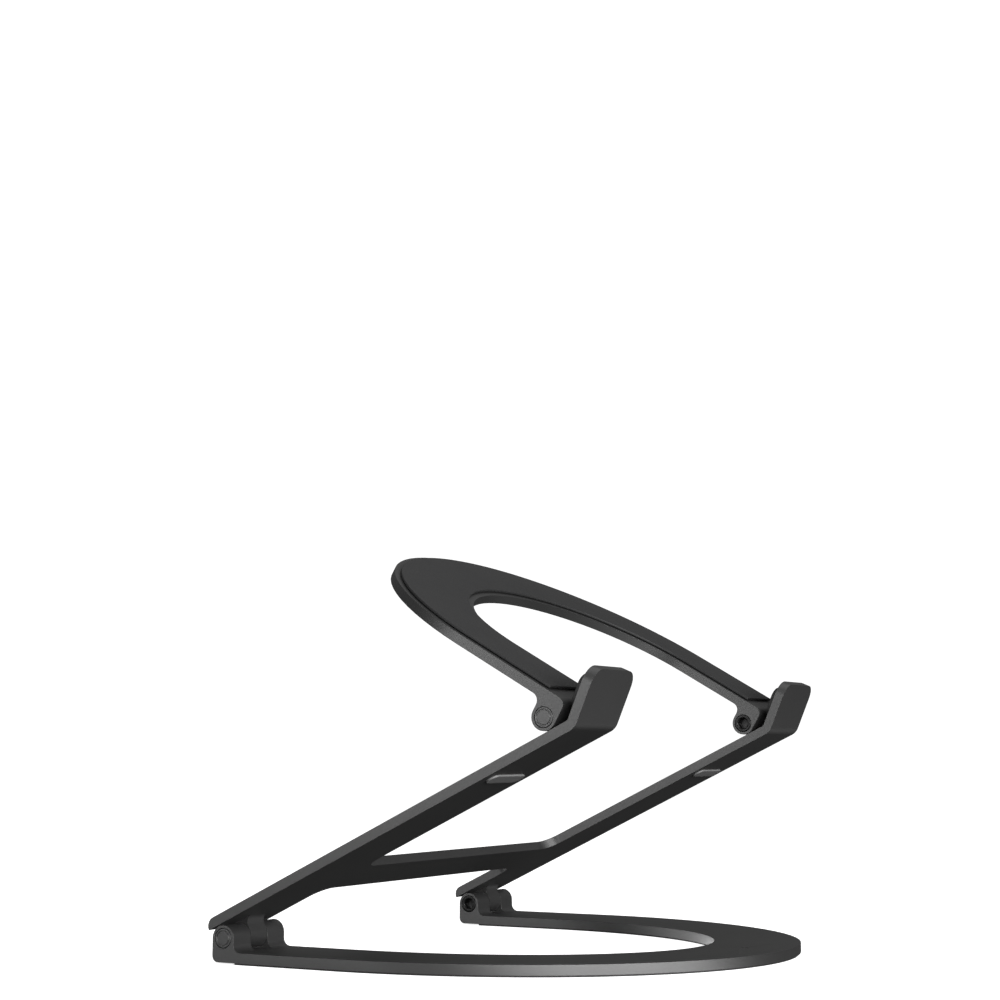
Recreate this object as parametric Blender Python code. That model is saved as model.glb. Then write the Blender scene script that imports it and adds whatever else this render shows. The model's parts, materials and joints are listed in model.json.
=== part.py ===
"""Folding laptop stand in anodised aluminium.

A U-shaped base plate carries an H-shaped middle frame on two rear hinges. The middle frame's arms end in
hooks that hold the laptop's front edge, and they carry a U-shaped top frame on two more hinges, under the
laptop. Every hinge is a clevis: outer ear, knuckle, inner ear, on a pivot sleeve held by a socket screw.

Units are metres, +Z up, +X to the user's right, +Y away from the user. The origin is on the table, in the
middle of the stand's footprint.
"""

import math

import bmesh
import bpy

MM = 0.001

# Overall sizes
STAND_WIDTH = 266.0 * MM
LEG_WIDTH = 40.0 * MM
FRAME_PLATE = 4.4 * MM
BASE_PLATE = 4.55 * MM
PAD_PROUD = 0.8 * MM
ARM_SLOPE = math.radians(25.9)
DECK_SLOPE = math.radians(30.0)

# Clearances
GAP = 0.3 * MM
EAR_SIDE_GAP = 0.4 * MM
KNUCKLE_FLOOR_GAP = 0.45 * MM
EAR_TOP_GAP = 0.65 * MM

# Base: a plate whose outer and inner edges are straight legs running into half ellipses
BASE_REACH = 220.0 * MM
BASE_NOSE = 161.0 * MM
INNER_REACH = 179.0 * MM
INNER_NOSE = 130.0 * MM
BASE_HEEL_RADIUS = 3.0 * MM

# Hinges
EAR_RADIUS = 5.8 * MM
KNUCKLE_WIDTH = 12.5 * MM
KNUCKLE_ROOT = 1.5 * MM
KNUCKLE_ROOT_SETBACK = 0.9 * MM
EAR_FILLET = 3.6 * MM
SLEEVE_RADIUS = 2.5 * MM
EAR_WALL = 1.2 * MM
SLEEVE_HEAD = 1.2 * MM
SLEEVE_GROOVE_SETBACK = 1.0 * MM
SLEEVE_GROOVE_WIDTH = 0.4 * MM
SLEEVE_GROOVE_DEPTH = 0.3 * MM
SCREW_RADIUS = 1.3 * MM
SCREW_LENGTH = 9.0 * MM
SCREW_HEAD = 3.2 * MM
SOCKET_WIDTH = 5.0 * MM
SOCKET_DEPTH = 2.2 * MM
SPRING_RISE = 0.3 * MM
SPRING_THICKNESS = 0.5 * MM
BUSH_WALL = 1.0 * MM
WASHER_THICKNESS = 0.5 * MM
WASHER_WALL = 0.7 * MM

# Middle frame, measured along the arm from the base hinge
HINGE_SPAN = 190.2 * MM
CROSSBAR_START = 33.6 * MM
CROSSBAR_WIDTH = 25.0 * MM
CROSSBAR_FILLET = 8.5 * MM
HOOK_SETOUT = 11.1 * MM
HOOK_LENGTH = 26.6 * MM
HOOK_ANGLE = math.radians(41.5)
HOOK_CORNER = 7.0 * MM
BEND_RADIUS = 2.6 * MM
KNUCKLE_FILLET = 3.0 * MM

# Top frame, measured along its plate from the top hinge
TOP_REACH = 147.0 * MM
TOP_NOSE = 95.0 * MM
TOP_INNER_REACH = 107.0 * MM
TOP_INNER_NOSE = 62.0 * MM
TOP_LIP_RADIUS = 3.5 * MM

# Silicone parts
HOOK_PAD_THICKNESS = 2.0 * MM
HOOK_PAD_START = 5.0 * MM
HOOK_PAD_TOP_MARGIN = 4.3 * MM
HOOK_PAD_INSET = 1.4 * MM
HOOK_PAD_CORNER = 5.0 * MM
TOP_PAD_THICKNESS = 1.3 * MM
TOP_PAD_INSET = 3.0 * MM
TOP_PAD_START = 5.0 * MM
BASE_PAD_THICKNESS = 1.3 * MM
BASE_PAD_INSET = 0.8 * MM
BASE_PAD_HEEL = 11.6 * MM
BUMPER_PLACE = 152.8 * MM
BUMPER_LENGTH = 28.5 * MM
BUMPER_WIDTH = 7.0 * MM
BUMPER_PROUD = 0.75 * MM
BUMPER_POCKET = 0.8 * MM
PLUG_RADIUS = 1.6 * MM
PLUG_DEPTH = 1.4 * MM
PLUG_SUNK = 0.3 * MM

# Worked out from the sizes above
HALF_WIDTH = STAND_WIDTH / 2
INNER_HALF = HALF_WIDTH - LEG_WIDTH
BASE_BOTTOM = PAD_PROUD
BASE_TOP = BASE_BOTTOM + BASE_PLATE
HINGE_HEIGHT = BASE_TOP + KNUCKLE_FLOOR_GAP + EAR_RADIUS
KNUCKLE_START = (LEG_WIDTH - KNUCKLE_WIDTH) / 2
EAR_WIDTH = KNUCKLE_START - EAR_SIDE_GAP
FRAME_BOTTOM = EAR_RADIUS + EAR_TOP_GAP
FRAME_TOP = FRAME_BOTTOM + FRAME_PLATE
TOP_HINGE_RISE = FRAME_TOP + GAP + EAR_RADIUS
SLEEVE_HEAD_RADIUS = EAR_RADIUS - EAR_WALL - GAP
SLEEVE_GROOVE_RADIUS = SLEEVE_HEAD_RADIUS - SLEEVE_GROOVE_SETBACK
WASHER_RADIUS = EAR_RADIUS - WASHER_WALL - GAP
SLEEVE_BORE = SLEEVE_RADIUS + GAP
COUNTERBORE = SLEEVE_HEAD_RADIUS + GAP
CAP_DEPTH = SLEEVE_HEAD + GAP
SPRING_HEIGHT = SPRING_THICKNESS + SPRING_RISE
SCREW_SEAT = SCREW_HEAD + GAP + SPRING_HEIGHT + GAP
BUSH_INNER = SLEEVE_RADIUS + GAP
BUSH_OUTER = BUSH_INNER + BUSH_WALL
KNUCKLE_BORE = BUSH_OUTER + GAP
WASHER_RECESS = WASHER_THICKNESS + 2 * GAP - EAR_SIDE_GAP
HOOK_START = HINGE_SPAN + HOOK_SETOUT
TAIL_OVERHANG = max(
    EAR_RADIUS * math.cos(ARM_SLOPE) + FRAME_BOTTOM * math.sin(ARM_SLOPE),
    (EAR_RADIUS - FRAME_PLATE) * math.cos(ARM_SLOPE) + FRAME_BOTTOM * math.sin(ARM_SLOPE) + FRAME_PLATE,
)
HINGE_Y = (BASE_REACH - TAIL_OVERHANG) / 2

BASE_PLAN = (BASE_REACH, BASE_NOSE, INNER_REACH, INNER_NOSE)
TOP_PLAN = (TOP_REACH, TOP_NOSE, TOP_INNER_REACH, TOP_INNER_NOSE)

# Facets
ROUND_STEPS = 24
HALF_ROUND_STEPS = ROUND_STEPS // 2
CORNER_STEPS = 6
NOSE_STEPS = 40
HEX_SIDES = 6
MERGE_DISTANCE = 0.0001 * MM
SMOOTH_ANGLE = math.radians(40)

# How far a cutter runs past the faces that it cuts
CUT_OVER = 1.0 * MM


def clear_scene():
    """Remove every object that the file opened with."""
    for item in list(bpy.data.objects):
        bpy.data.objects.remove(item, do_unlink=True)


def material(name, colour, roughness, metallic):
    """Make one Principled BSDF material."""
    made = bpy.data.materials.new(name)
    made.use_nodes = True
    shader = made.node_tree.nodes["Principled BSDF"]
    shader.inputs["Base Color"].default_value = (*colour, 1.0)
    shader.inputs["Roughness"].default_value = roughness
    shader.inputs["Metallic"].default_value = metallic
    return made


def add_object(name, bm, finish=None):
    """Turn a bmesh into a named object with outward faces."""
    bmesh.ops.remove_doubles(bm, verts=bm.verts, dist=MERGE_DISTANCE)
    bmesh.ops.recalc_face_normals(bm, faces=bm.faces)
    mesh = bpy.data.meshes.new(name)
    bm.to_mesh(mesh)
    bm.free()
    made = bpy.data.objects.new(name, mesh)
    bpy.context.collection.objects.link(made)
    if finish:
        mesh.materials.append(finish)
    return made


def prism(name, outline, axis, low, high, finish=None):
    """Extrude a closed outline along an axis.

    For axis "x" the outline's points are (y, z), and for axis "z" they are (x, y).
    """
    place = (lambda p, h: (h, p[0], p[1])) if axis == "x" else (lambda p, h: (p[0], p[1], h))
    bm = bmesh.new()
    floor = [bm.verts.new(place(point, low)) for point in outline]
    face = bm.faces.new(floor)
    grown = bmesh.ops.extrude_face_region(bm, geom=[face])
    lifted = [item for item in grown["geom"] if isinstance(item, bmesh.types.BMVert)]
    step = (high - low, 0, 0) if axis == "x" else (0, 0, high - low)
    bmesh.ops.translate(bm, verts=lifted, vec=step)
    return add_object(name, bm, finish)


def turned(name, profile, side, finish=None, steps=ROUND_STEPS):
    """Turn a profile about the hinge axis.

    The profile's points are (depth, radius), where depth runs inwards from the leg's outer face. A profile
    that starts and ends at radius 0 is solid, and any other is a ring whose last point joins its first.
    """
    bm = bmesh.new()
    rings = []
    for depth, radius in profile:
        x = side * (HALF_WIDTH - depth)
        if radius == 0:
            rings.append([bm.verts.new((x, 0, 0))] * steps)
            continue
        turns = [2 * math.pi * k / steps for k in range(steps)]
        rings.append([bm.verts.new((x, radius * math.cos(a), radius * math.sin(a))) for a in turns])
    closed = profile[0][1] > 0
    pairs = list(zip(rings, rings[1:])) + ([(rings[-1], rings[0])] if closed else [])
    for first, second in pairs:
        for k in range(steps):
            corners = [first[k], first[(k + 1) % steps], second[(k + 1) % steps], second[k]]
            bm.faces.new(list(dict.fromkeys(corners)))
    made = add_object(name, bm, finish)
    made.data.shade_smooth()
    made.data.set_sharp_from_angle(angle=SMOOTH_ANGLE)
    return made


def combine(target, tool, operation):
    """Apply one Boolean to the target and remove the tool."""
    tool.hide_render = True
    tool.display_type = "WIRE"
    cut = target.modifiers.new("cut", "BOOLEAN")
    cut.operation = operation
    cut.solver = "EXACT"
    cut.object = tool
    bpy.context.view_layer.update()
    result = bpy.data.meshes.new_from_object(target.evaluated_get(bpy.context.evaluated_depsgraph_get()))
    target.modifiers.clear()
    target.data = result
    bpy.data.objects.remove(tool, do_unlink=True)


def arc(centre, radius, start, end, steps):
    """Points of a circular arc, with both ends, angles in degrees."""
    spread = [math.radians(start + (end - start) * k / steps) for k in range(steps + 1)]
    return [(centre[0] + radius * math.cos(a), centre[1] + radius * math.sin(a)) for a in spread]


def circle(centre, radius, steps):
    """Points of a circle, the first one not repeated at its end."""
    return arc(centre, radius, 0, 360, steps)[:-1]


def rounded_box(x_low, x_high, y_low, y_high, radius, steps=CORNER_STEPS):
    """Outline of a rectangle with round corners."""
    return (
        arc((x_high - radius, y_low + radius), radius, -90, 0, steps)
        + arc((x_high - radius, y_high - radius), radius, 0, 90, steps)
        + arc((x_low + radius, y_high - radius), radius, 90, 180, steps)
        + arc((x_low + radius, y_low + radius), radius, 180, 270, steps)
    )


def u_outline(plan, inset, ends, way):
    """Outline of a U-shaped plate, moved inwards by inset.

    The plan holds the outer reach and nose and the inner reach and nose. Straight legs start at y = ends and
    run towards way, and each edge closes in a half ellipse as long as its nose.
    """
    reach, nose, inner_reach, inner_nose = plan
    outer = HALF_WIDTH - inset
    inner = INNER_HALF + inset
    turns = [math.pi * k / NOSE_STEPS for k in range(NOSE_STEPS + 1)]
    outline = [(-outer, ends)]
    outline += [(-outer * math.cos(a), way * (reach - nose + (nose - inset) * math.sin(a))) for a in turns]
    outline += [(outer, ends), (inner, ends)]
    start = inner_reach - inner_nose
    outline += [(inner * math.cos(a), way * (start + (inner_nose + inset) * math.sin(a))) for a in turns]
    outline += [(-inner, ends)]
    return outline


def leg_span(side, start, end):
    """X limits of a slice of one leg, given as depths from the leg's outer face."""
    return sorted((side * (HALF_WIDTH - start), side * (HALF_WIDTH - end)))


def clevis_bore(side):
    """Cutter for a clevis: sleeve bore, cap recess outside and screw recess inside."""
    seat = LEG_WIDTH - SCREW_SEAT
    profile = [
        (-CUT_OVER, 0),
        (-CUT_OVER, COUNTERBORE),
        (CAP_DEPTH, COUNTERBORE),
        (CAP_DEPTH, SLEEVE_BORE),
        (seat, SLEEVE_BORE),
        (seat, COUNTERBORE),
        (LEG_WIDTH + CUT_OVER, COUNTERBORE),
        (LEG_WIDTH + CUT_OVER, 0),
    ]
    return turned("bore_cutter", profile, side)


def knuckle_bore(side):
    """Cutter for a knuckle: bush bore with a washer recess at each end."""
    recess = WASHER_RADIUS + GAP
    end = KNUCKLE_START + KNUCKLE_WIDTH
    profile = [
        (KNUCKLE_START - GAP, 0),
        (KNUCKLE_START - GAP, recess),
        (KNUCKLE_START + WASHER_RECESS, recess),
        (KNUCKLE_START + WASHER_RECESS, KNUCKLE_BORE),
        (end - WASHER_RECESS, KNUCKLE_BORE),
        (end - WASHER_RECESS, recess),
        (end + GAP, recess),
        (end + GAP, 0),
    ]
    return turned("knuckle_cutter", profile, side)


def slot_cutter(side, y_low, y_high, z_low, z_high):
    """Box cutter that opens a clevis for its knuckle."""
    x_low, x_high = leg_span(side, EAR_WIDTH, LEG_WIDTH - EAR_WIDTH)
    outline = [(y_low, z_low), (y_high, z_low), (y_high, z_high), (y_low, z_high)]
    return prism("slot_cutter", outline, "x", x_low, x_high)


def hang(item, parent, place=(0, 0, 0), turn=0.0):
    """Parent an object and place it in its parent's frame, turned about X."""
    item.parent = parent
    item.location = place
    item.rotation_euler = (turn, 0, 0)
    return item


def axis_empty(name, parent, place, turn):
    """Empty on a hinge axis, whose frame carries the pieces that turn about it."""
    made = bpy.data.objects.new(name, None)
    bpy.context.collection.objects.link(made)
    return hang(made, parent, place, turn)


def base_frame(finish):
    """U-shaped plate with a clevis at the back of each leg.

    The U outline, drawn tall, is cut to the leg's side outline: plate, front fillet, round-topped ear and
    rounded heel.
    """
    low = BASE_BOTTOM - HINGE_HEIGHT
    top = BASE_TOP - HINGE_HEIGHT
    front = -BASE_REACH - CUT_OVER
    side_outline = [(front, low)]
    heel_centre = (EAR_RADIUS - BASE_HEEL_RADIUS, low + BASE_HEEL_RADIUS)
    side_outline += arc(heel_centre, BASE_HEEL_RADIUS, -90, 0, CORNER_STEPS)
    side_outline += arc((0, 0), EAR_RADIUS, 0, 180, HALF_ROUND_STEPS)
    fillet_centre = (-EAR_RADIUS - EAR_FILLET, top + EAR_FILLET)
    side_outline += arc(fillet_centre, EAR_FILLET, 0, -90, CORNER_STEPS)
    side_outline += [(front, top)]
    frame = prism("base_frame", u_outline(BASE_PLAN, 0, EAR_RADIUS, -1), "z", low - CUT_OVER,
                  EAR_RADIUS + CUT_OVER, finish)
    reach = HALF_WIDTH + CUT_OVER
    combine(frame, prism("side_cutter", side_outline, "x", -reach, reach), "INTERSECT")
    slot_front = -EAR_RADIUS - EAR_FILLET - CUT_OVER
    for side in (-1, 1):
        slot = slot_cutter(side, slot_front, EAR_RADIUS + CUT_OVER, top, EAR_RADIUS + CUT_OVER)
        combine(frame, slot, "DIFFERENCE")
        combine(frame, clevis_bore(side), "DIFFERENCE")
    pad_outline = u_outline(BASE_PLAN, BASE_PAD_INSET - GAP, EAR_RADIUS - BASE_PAD_HEEL + GAP, -1)
    pad_top = BASE_PAD_THICKNESS + GAP - HINGE_HEIGHT
    combine(frame, prism("pad_cutter", pad_outline, "z", low - CUT_OVER, pad_top), "DIFFERENCE")
    combine(frame, plug_shape("plug_cutter", PLUG_RADIUS + GAP, top - PLUG_DEPTH - PLUG_SUNK - GAP,
                              top + CUT_OVER), "DIFFERENCE")
    return frame


def plug_shape(name, radius, low, high, finish=None):
    """Short upright cylinder in the middle of the base's front band."""
    middle = -(BASE_REACH + INNER_REACH) / 2
    return prism(name, circle((0, middle), radius, ROUND_STEPS), "z", low, high, finish)


def base_pad(finish):
    """Silicone sheet let into the base's underside, standing proud of it."""
    outline = u_outline(BASE_PLAN, BASE_PAD_INSET, EAR_RADIUS - BASE_PAD_HEEL, -1)
    low = -HINGE_HEIGHT
    return prism("base_pad", outline, "z", low, low + BASE_PAD_THICKNESS, finish)


def bend(frame):
    """Bend the flat blank's end up into the hooks.

    The blank lies with its underside at z = FRAME_BOTTOM. Past the bend line it is wrapped round a centre
    above the plate, so the underside keeps its length, and then runs straight at the hook's angle.
    """
    outer_radius = BEND_RADIUS + FRAME_PLATE
    start = HOOK_START - outer_radius * math.tan(HOOK_ANGLE / 2)
    arc_length = outer_radius * HOOK_ANGLE
    bm = bmesh.new()
    bm.from_mesh(frame.data)
    for k in range(CORNER_STEPS + 1):
        line = (0, -(start + arc_length * k / CORNER_STEPS), 0)
        geometry = bm.verts[:] + bm.edges[:] + bm.faces[:]
        bmesh.ops.bisect_plane(bm, geom=geometry, plane_co=line, plane_no=(0, 1, 0))
    centre_z = FRAME_BOTTOM + outer_radius
    for vertex in bm.verts:
        run = -vertex.co.y - start
        if run <= 0:
            continue
        radius = centre_z - vertex.co.z
        angle = min(run / outer_radius, HOOK_ANGLE)
        past = max(run - arc_length, 0)
        along = start + radius * math.sin(angle) + past * math.cos(angle)
        vertex.co.y = -along
        vertex.co.z = centre_z - radius * math.cos(angle) + past * math.sin(angle)
    bm.to_mesh(frame.data)
    bm.free()


def blank_outline():
    """Outline of the middle frame's flat blank: two arms and a crossbar with filleted corners."""
    outer_radius = BEND_RADIUS + FRAME_PLATE
    setback = outer_radius * math.tan(HOOK_ANGLE / 2)
    front = -(HOOK_START - setback + outer_radius * HOOK_ANGLE + HOOK_LENGTH - setback)
    back = EAR_RADIUS
    bar_back = -CROSSBAR_START
    bar_front = -(CROSSBAR_START + CROSSBAR_WIDTH)
    fillet = CROSSBAR_FILLET
    half = [(HALF_WIDTH, back), (INNER_HALF, back)]
    half += arc((INNER_HALF - fillet, bar_back + fillet), fillet, 0, -90, CORNER_STEPS)
    front_half = arc((INNER_HALF - fillet, bar_front - fillet), fillet, 90, 0, CORNER_STEPS)
    front_half += arc((INNER_HALF + HOOK_CORNER, front + HOOK_CORNER), HOOK_CORNER, 180, 270, CORNER_STEPS)
    front_half += arc((HALF_WIDTH - HOOK_CORNER, front + HOOK_CORNER), HOOK_CORNER, 270, 360, CORNER_STEPS)
    mirror = [(-x, y) for x, y in reversed(half)]
    front_mirror = [(-x, y) for x, y in reversed(front_half)]
    return half + mirror + front_mirror + front_half


def middle_frame(finish):
    """H-shaped frame with hooks, a hanging knuckle and a standing knuckle on each arm."""
    frame = prism("middle_frame", blank_outline(), "z", FRAME_BOTTOM - CUT_OVER, FRAME_TOP + CUT_OVER, finish)
    far = -(HOOK_START + HOOK_LENGTH + LEG_WIDTH)
    side_outline = [(far, FRAME_BOTTOM)]
    side_outline += arc((EAR_RADIUS - FRAME_PLATE, FRAME_BOTTOM), FRAME_PLATE, 0, 90, CORNER_STEPS)
    side_outline += [(far, FRAME_TOP)]
    reach = HALF_WIDTH + CUT_OVER
    combine(frame, prism("side_cutter", side_outline, "x", -reach, reach), "INTERSECT")
    bend(frame)
    for side in (-1, 1):
        for outline in (hanging_knuckle(), standing_knuckle()):
            low, high = leg_span(side, KNUCKLE_START, KNUCKLE_START + KNUCKLE_WIDTH)
            combine(frame, prism("knuckle", outline, "x", low, high), "UNION")
        combine(frame, knuckle_bore(side), "DIFFERENCE")
        top_cutter = knuckle_bore(side)
        top_cutter.location = (0, -HINGE_SPAN, TOP_HINGE_RISE)
        combine(frame, top_cutter, "DIFFERENCE")
        pocket_top = FRAME_BOTTOM + BUMPER_POCKET
        pocket = bumper_shape("pocket_cutter", side, GAP, FRAME_BOTTOM - CUT_OVER, pocket_top)
        combine(frame, pocket, "DIFFERENCE")
    return frame


def hanging_knuckle():
    """Side outline of the knuckle under the arm's tail, as (y, z) about the base hinge."""
    root = FRAME_BOTTOM + KNUCKLE_ROOT
    outline = arc((0, 0), EAR_RADIUS, 180, 360, HALF_ROUND_STEPS)
    outline += [(EAR_RADIUS, FRAME_BOTTOM), (EAR_RADIUS - KNUCKLE_ROOT_SETBACK, root)]
    outline += [(-EAR_RADIUS - EAR_FILLET, root)]
    outline += arc((-EAR_RADIUS - EAR_FILLET, FRAME_BOTTOM - EAR_FILLET), EAR_FILLET, 90, 0, CORNER_STEPS)
    return outline


def standing_knuckle():
    """Side outline of the knuckle on the arm's top, as (y, z) about the base hinge."""
    y = -HINGE_SPAN
    z = TOP_HINGE_RISE
    root = FRAME_TOP - KNUCKLE_ROOT
    foot = EAR_RADIUS + KNUCKLE_FILLET
    outline = arc((y, z), EAR_RADIUS, 0, 180, HALF_ROUND_STEPS)
    outline += arc((y - foot, FRAME_TOP + KNUCKLE_FILLET), KNUCKLE_FILLET, 0, -90, CORNER_STEPS)
    outline += [(y - foot, root), (y + foot, root)]
    outline += arc((y + foot, FRAME_TOP + KNUCKLE_FILLET), KNUCKLE_FILLET, -90, -180, CORNER_STEPS)
    return outline


def top_frame(finish):
    """U-shaped plate under the laptop, with a clevis under the front of each leg.

    Its side outline has a square front face with a rounded top, ears about the hinge, and a fillet behind
    them up to the plate's underside.
    """
    far = TOP_REACH + CUT_OVER
    lip = TOP_LIP_RADIUS
    side_outline = arc((0, 0), EAR_RADIUS, 180, 360, HALF_ROUND_STEPS)
    fillet_centre = (EAR_RADIUS + EAR_FILLET, FRAME_BOTTOM - EAR_FILLET)
    side_outline += arc(fillet_centre, EAR_FILLET, 180, 90, CORNER_STEPS)
    side_outline += [(far, FRAME_BOTTOM), (far, FRAME_TOP)]
    side_outline += arc((-EAR_RADIUS + lip, FRAME_TOP - lip), lip, 90, 180, CORNER_STEPS)
    frame = prism("top_frame", u_outline(TOP_PLAN, 0, -EAR_RADIUS, 1), "z", -EAR_RADIUS - CUT_OVER,
                  FRAME_TOP + CUT_OVER, finish)
    reach = HALF_WIDTH + CUT_OVER
    combine(frame, prism("side_cutter", side_outline, "x", -reach, reach), "INTERSECT")
    slot_end = EAR_RADIUS + EAR_FILLET + CUT_OVER
    for side in (-1, 1):
        slot = slot_cutter(side, -EAR_RADIUS - CUT_OVER, slot_end, -EAR_RADIUS - CUT_OVER, FRAME_BOTTOM)
        combine(frame, slot, "DIFFERENCE")
        combine(frame, clevis_bore(side), "DIFFERENCE")
    return frame


def top_pad(finish):
    """Silicone sheet along the top frame, which the laptop lies on."""
    outline = u_outline(TOP_PLAN, TOP_PAD_INSET, TOP_PAD_START, 1)
    low = FRAME_TOP + GAP
    return prism("top_pad", outline, "z", low, low + TOP_PAD_THICKNESS, finish)


def hook_pad(name, side, finish):
    """Silicone facing on the hook's inner side, drawn flat, with its foot at the bend."""
    x_low, x_high = leg_span(side, HOOK_PAD_INSET, LEG_WIDTH - HOOK_PAD_INSET)
    inner_length = HOOK_LENGTH - FRAME_PLATE * math.tan(HOOK_ANGLE / 2)
    top = inner_length - HOOK_PAD_TOP_MARGIN
    outline = rounded_box(x_low, x_high, -top, -HOOK_PAD_START, HOOK_PAD_CORNER)
    return prism(name, outline, "z", GAP, GAP + HOOK_PAD_THICKNESS, finish)


def bumper_shape(name, side, grow, low, high, finish=None):
    """Upright prism on the fold bumper's long round outline, grown all round."""
    centre = LEG_WIDTH / 2
    half = BUMPER_LENGTH / 2 + grow
    x_low, x_high = leg_span(side, centre - half, centre + half)
    radius = BUMPER_WIDTH / 2 + grow
    outline = arc((x_high - radius, -BUMPER_PLACE), radius, -90, 90, HALF_ROUND_STEPS)
    outline += arc((x_low + radius, -BUMPER_PLACE), radius, 90, 270, HALF_ROUND_STEPS)
    return prism(name, outline, "z", low, high, finish)


def hinge_set(prefix, side, finishes):
    """The loose pieces of one hinge, as a dictionary of piece name to object.

    A headed sleeve fills the clevis from outside, a socket screw closes it from inside over a disc spring,
    and the knuckle turns on a bush between two friction washers.
    """
    steel, dark, bronze = finishes
    far = LEG_WIDTH - SCREW_SEAT - GAP
    groove = (SLEEVE_GROOVE_RADIUS - SLEEVE_GROOVE_WIDTH / 2, SLEEVE_GROOVE_RADIUS + SLEEVE_GROOVE_WIDTH / 2)
    screw_tip = far - SCREW_LENGTH
    hole = SCREW_RADIUS + GAP
    sleeve = [
        (0, 0),
        (0, groove[0]),
        (SLEEVE_GROOVE_DEPTH, groove[0]),
        (SLEEVE_GROOVE_DEPTH, groove[1]),
        (0, groove[1]),
        (0, SLEEVE_HEAD_RADIUS),
        (SLEEVE_HEAD, SLEEVE_HEAD_RADIUS),
        (SLEEVE_HEAD, SLEEVE_RADIUS),
        (far, SLEEVE_RADIUS),
        (far, hole),
        (screw_tip - GAP, hole),
        (screw_tip - GAP, 0),
    ]
    head_back = LEG_WIDTH - SCREW_HEAD
    screw = [
        (screw_tip, 0),
        (screw_tip, SCREW_RADIUS),
        (head_back, SCREW_RADIUS),
        (head_back, SLEEVE_HEAD_RADIUS),
        (LEG_WIDTH, SLEEVE_HEAD_RADIUS),
        (LEG_WIDTH, 0),
    ]
    spring_out = head_back - GAP
    spring = [
        (spring_out, hole),
        (spring_out - SPRING_THICKNESS, hole),
        (spring_out - SPRING_HEIGHT, SLEEVE_HEAD_RADIUS - GAP),
        (spring_out - SPRING_RISE, SLEEVE_HEAD_RADIUS - GAP),
    ]
    bush_start = KNUCKLE_START + WASHER_RECESS
    bush_end = KNUCKLE_START + KNUCKLE_WIDTH - WASHER_RECESS
    pieces = {
        "sleeve": turned(f"{prefix}_sleeve", sleeve, side, dark),
        "screw": turned(f"{prefix}_screw", screw, side, dark),
        "disc_spring": turned(f"{prefix}_disc_spring", spring, side, steel),
        "bush": turned(f"{prefix}_bush", ring(bush_start, bush_end, BUSH_INNER, BUSH_OUTER), side, bronze),
    }
    combine(pieces["screw"], hex_cutter(side), "DIFFERENCE")
    starts = {"outer_washer": EAR_WIDTH + GAP, "inner_washer": LEG_WIDTH - EAR_WIDTH - GAP - WASHER_THICKNESS}
    for piece, start in starts.items():
        profile = ring(start, start + WASHER_THICKNESS, SLEEVE_BORE, WASHER_RADIUS)
        pieces[piece] = turned(f"{prefix}_{piece}", profile, side, steel)
    return pieces


def ring(start, end, inner, outer):
    """Profile of a plain ring between two depths."""
    return [(start, inner), (start, outer), (end, outer), (end, inner)]


def hex_cutter(side):
    """Cutter for the screw's hexagon socket."""
    corner = SOCKET_WIDTH / math.sqrt(3)
    low, high = leg_span(side, LEG_WIDTH - SOCKET_DEPTH, LEG_WIDTH + CUT_OVER)
    return prism("socket_cutter", circle((0, 0), corner, HEX_SIDES), "x", low, high)


def build():
    """Make every piece and hang it on its axis."""
    clear_scene()
    anodised = material("anodised_aluminium", (0.055, 0.055, 0.058), 0.45, 0.85)
    silicone = material("black_silicone", (0.012, 0.012, 0.012), 0.7, 0.0)
    bumper_rubber = material("grey_rubber", (0.07, 0.07, 0.07), 0.6, 0.0)
    dark_steel = material("blackened_steel", (0.05, 0.05, 0.052), 0.4, 1.0)
    steel = material("spring_steel", (0.45, 0.45, 0.46), 0.35, 1.0)
    bronze = material("bearing_bronze", (0.5, 0.32, 0.14), 0.4, 1.0)
    finishes = (steel, dark_steel, bronze)

    base_axis = axis_empty("base_axis", None, (0, HINGE_Y, HINGE_HEIGHT), 0)
    frame_axis = axis_empty("frame_axis", base_axis, (0, 0, 0), -ARM_SLOPE)
    hang(base_frame(anodised), base_axis)
    hang(base_pad(silicone), base_axis)
    plug_high = BASE_TOP - HINGE_HEIGHT - PLUG_SUNK
    hang(plug_shape("front_plug", PLUG_RADIUS, plug_high - PLUG_DEPTH, plug_high, silicone), base_axis)
    hang(middle_frame(anodised), frame_axis)

    top_place = (0, -HINGE_SPAN, TOP_HINGE_RISE)
    top_axis = axis_empty("top_axis", frame_axis, top_place, ARM_SLOPE + DECK_SLOPE)
    hang(top_frame(anodised), top_axis)
    hang(top_pad(silicone), top_axis)

    hook_foot = (0, -HOOK_START + FRAME_PLATE * math.tan(HOOK_ANGLE / 2), FRAME_TOP)
    for label, side in (("left", -1), ("right", 1)):
        hang(hook_pad(f"{label}_hook_pad", side, silicone), frame_axis, hook_foot, -HOOK_ANGLE)
        bumper_low = FRAME_BOTTOM - BUMPER_PROUD
        bumper_high = FRAME_BOTTOM + BUMPER_POCKET - GAP
        bumper = bumper_shape(f"{label}_fold_bumper", side, 0, bumper_low, bumper_high, bumper_rubber)
        hang(bumper, frame_axis)
        for piece, item in hinge_set(f"{label}_base_hinge", side, finishes).items():
            hang(item, frame_axis if piece == "bush" else base_axis)
        for piece, item in hinge_set(f"{label}_top_hinge", side, finishes).items():
            if piece == "bush":
                hang(item, frame_axis, top_place)
            else:
                hang(item, top_axis)


build()
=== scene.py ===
"""Looks of a folding laptop stand: dark anodised plates, silicone pads and the pieces of its four hinges."""

import json
import logging
import math
from dataclasses import dataclass
from enum import Enum
from typing import Sequence

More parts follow.
